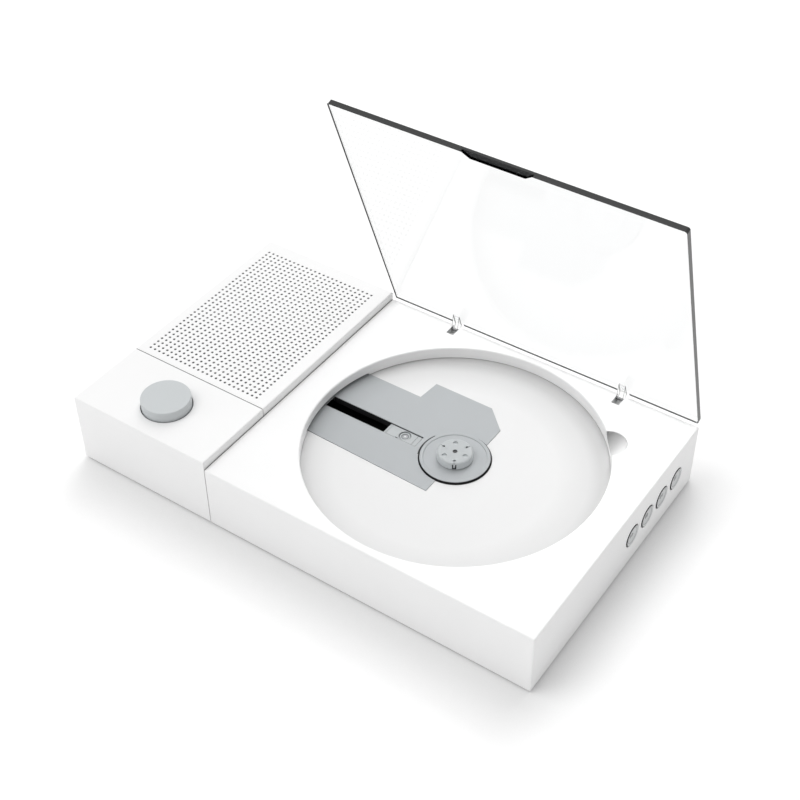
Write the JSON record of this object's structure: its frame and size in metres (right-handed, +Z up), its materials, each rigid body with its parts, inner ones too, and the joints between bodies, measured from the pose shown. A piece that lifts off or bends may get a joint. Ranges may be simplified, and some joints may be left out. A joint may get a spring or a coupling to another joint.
{
  "type": "cd player",
  "caption": "Flat tabletop disc player with a clear hinged lid over a round disc well, and a side module with a volume knob and a perforated speaker grille.",
  "frame": {"origin": "middle of the footprint with the lid open, level with the underside of the feet", "axes": "+X to the right along the front from the speaker module to the disc well, +Y to the rear hinge edge, +Z up"},
  "size_m": [0.2196, 0.134, 0.1523],
  "materials": {
    "white_shell": "fine satin moulded white plastic",
    "knob_grey": "satin light grey plastic",
    "deck_grey": "satin cool grey plastic",
    "hub_grey": "satin light grey plastic",
    "clear_acrylic": "clear polished acrylic with dark edges",
    "black_plastic": "black moulded plastic",
    "rubber": "dark rubber",
    "steel": "plain steel",
    "board": "green circuit board",
    "cone_paper": "pressed black paper",
    "lens_glass": "small coated glass lens",
    "gear_white": "natural white gear plastic"
  },
  "bodies": {
    "base": {"control_housing": "white_shell", "speaker_housing": "white_shell", "player_housing": "white_shell", "well_floor": "white_shell", "base_plate": "white_shell", "deck_cover": "deck_grey", "deck_frame": "black_plastic", "spindle_motor": "steel", "guide_rod_1": "steel", "guide_rod_2": "steel", "sled_motor": "steel", "damper_1": "rubber", "damper_2": "rubber", "damper_3": "rubber", "damper_4": "rubber", "foot_1": "rubber", "foot_2": "rubber", "foot_3": "rubber", "foot_4": "rubber", "base_screw_1": "steel", "base_screw_2": "steel", "base_screw_3": "steel", "base_screw_4": "steel", "potentiometer": "steel", "control_board": "board", "main_board": "board", "power_socket": "steel", "speaker_frame": "black_plastic", "speaker_magnet": "steel", "speaker_surround": "rubber", "switch_1": "black_plastic", "switch_2": "black_plastic", "switch_3": "black_plastic", "switch_4": "black_plastic", "button_board": "board", "hinge_pin_1": "steel", "hinge_pin_2": "steel"},
    "lid": {"lid_panel": "clear_acrylic", "hinge_arm_1": "clear_acrylic", "hinge_arm_2": "clear_acrylic"},
    "knob": {"volume_knob": "knob_grey", "knob_shaft": "steel"},
    "spindle": {"turntable": "hub_grey", "spindle_hub": "hub_grey", "spindle_shaft": "steel"},
    "claw_1": {"disc_claw_1": "hub_grey"},
    "claw_2": {"disc_claw_2": "hub_grey"},
    "claw_3": {"disc_claw_3": "hub_grey"},
    "sled": {"pickup_sled": "hub_grey", "sled_rack": "gear_white"},
    "lens_mount": {"lens_holder": "hub_grey", "lens": "lens_glass"},
    "gear": {"drive_gear": "gear_white"},
    "pinion": {"motor_pinion": "gear_white"},
    "cone": {"speaker_cone": "cone_paper", "dust_cap": "cone_paper"},
    "push_1": {"button_1": "knob_grey"},
    "push_2": {"button_2": "knob_grey"},
    "push_3": {"button_3": "knob_grey"},
    "push_4": {"button_4": "knob_grey"}
  },
  "joints": [
    {"name": "lid_hinge", "type": "hinge", "parent": "base", "child": "lid", "pos_m": [0.0344, 0.06263, 0.02905], "axis": [-1, 0, 0], "range_deg": [-70, 0]},
    {"name": "knob_turn", "type": "hinge", "parent": "base", "child": "knob", "pos_m": [-0.0749, -0.04887, 0.034], "axis": [0, 0, 1], "range_deg": [-150, 150]},
    {"name": "spindle_spin", "type": "hinge", "parent": "base", "child": "spindle", "pos_m": [0.0347, -0.00147, 0.0254], "axis": [0, 0, 1], "continuous": true},
    {"name": "claw_slide_1", "type": "slide", "parent": "spindle", "child": "claw_1", "axis": [-0.5, 0.866, 0], "range_m": [0, 0.0006], "stiffness_N_per_m": 100},
    {"name": "claw_slide_2", "type": "slide", "parent": "spindle", "child": "claw_2", "axis": [-0.5, -0.866, 0], "range_m": [0, 0.0006], "stiffness_N_per_m": 100},
    {"name": "claw_slide_3", "type": "slide", "parent": "spindle", "child": "claw_3", "axis": [1, 0, 0], "range_m": [0, 0.0006], "stiffness_N_per_m": 100},
    {"name": "sled_slide", "type": "slide", "parent": "base", "child": "sled", "axis": [-1, 0, 0], "range_m": [0, 0.0336]},
    {"name": "gear_turn", "type": "hinge", "parent": "base", "child": "gear", "pos_m": [0.0008, -0.01877, 0.0108], "axis": [0, 0, 1], "range_deg": [-5, 645]},
    {"name": "pinion_turn", "type": "hinge", "parent": "base", "child": "pinion", "pos_m": [-0.0107, -0.01877, 0.0108], "axis": [0, 0, 1], "range_deg": [-2315, 5]},
    {"name": "lens_focus", "type": "slide", "parent": "sled", "child": "lens_mount", "axis": [0, 0, 1], "range_m": [-0.0004, 0.0004], "stiffness_N_per_m": 40},
    {"name": "cone_travel", "type": "slide", "parent": "base", "child": "cone", "axis": [0, 0, 1], "range_m": [-0.0005, 0.0005], "stiffness_N_per_m": 1000},
    {"name": "button_press_1", "type": "slide", "parent": "base", "child": "push_1", "axis": [-1, 0, 0], "range_m": [0, 0.0008], "stiffness_N_per_m": 500},
    {"name": "button_press_2", "type": "slide", "parent": "base", "child": "push_2", "axis": [-1, 0, 0], "range_m": [0, 0.0008], "stiffness_N_per_m": 500},
    {"name": "button_press_3", "type": "slide", "parent": "base", "child": "push_3", "axis": [-1, 0, 0], "range_m": [0, 0.0008], "stiffness_N_per_m": 500},
    {"name": "button_press_4", "type": "slide", "parent": "base", "child": "push_4", "axis": [-1, 0, 0], "range_m": [0, 0.0008], "stiffness_N_per_m": 500}
  ],
  "couplings": [
    {"joint": "gear_turn", "follows": "sled_slide", "rad_per_m": 333.33},
    {"joint": "pinion_turn", "follows": "sled_slide", "rad_per_m": -1200}
  ]
}
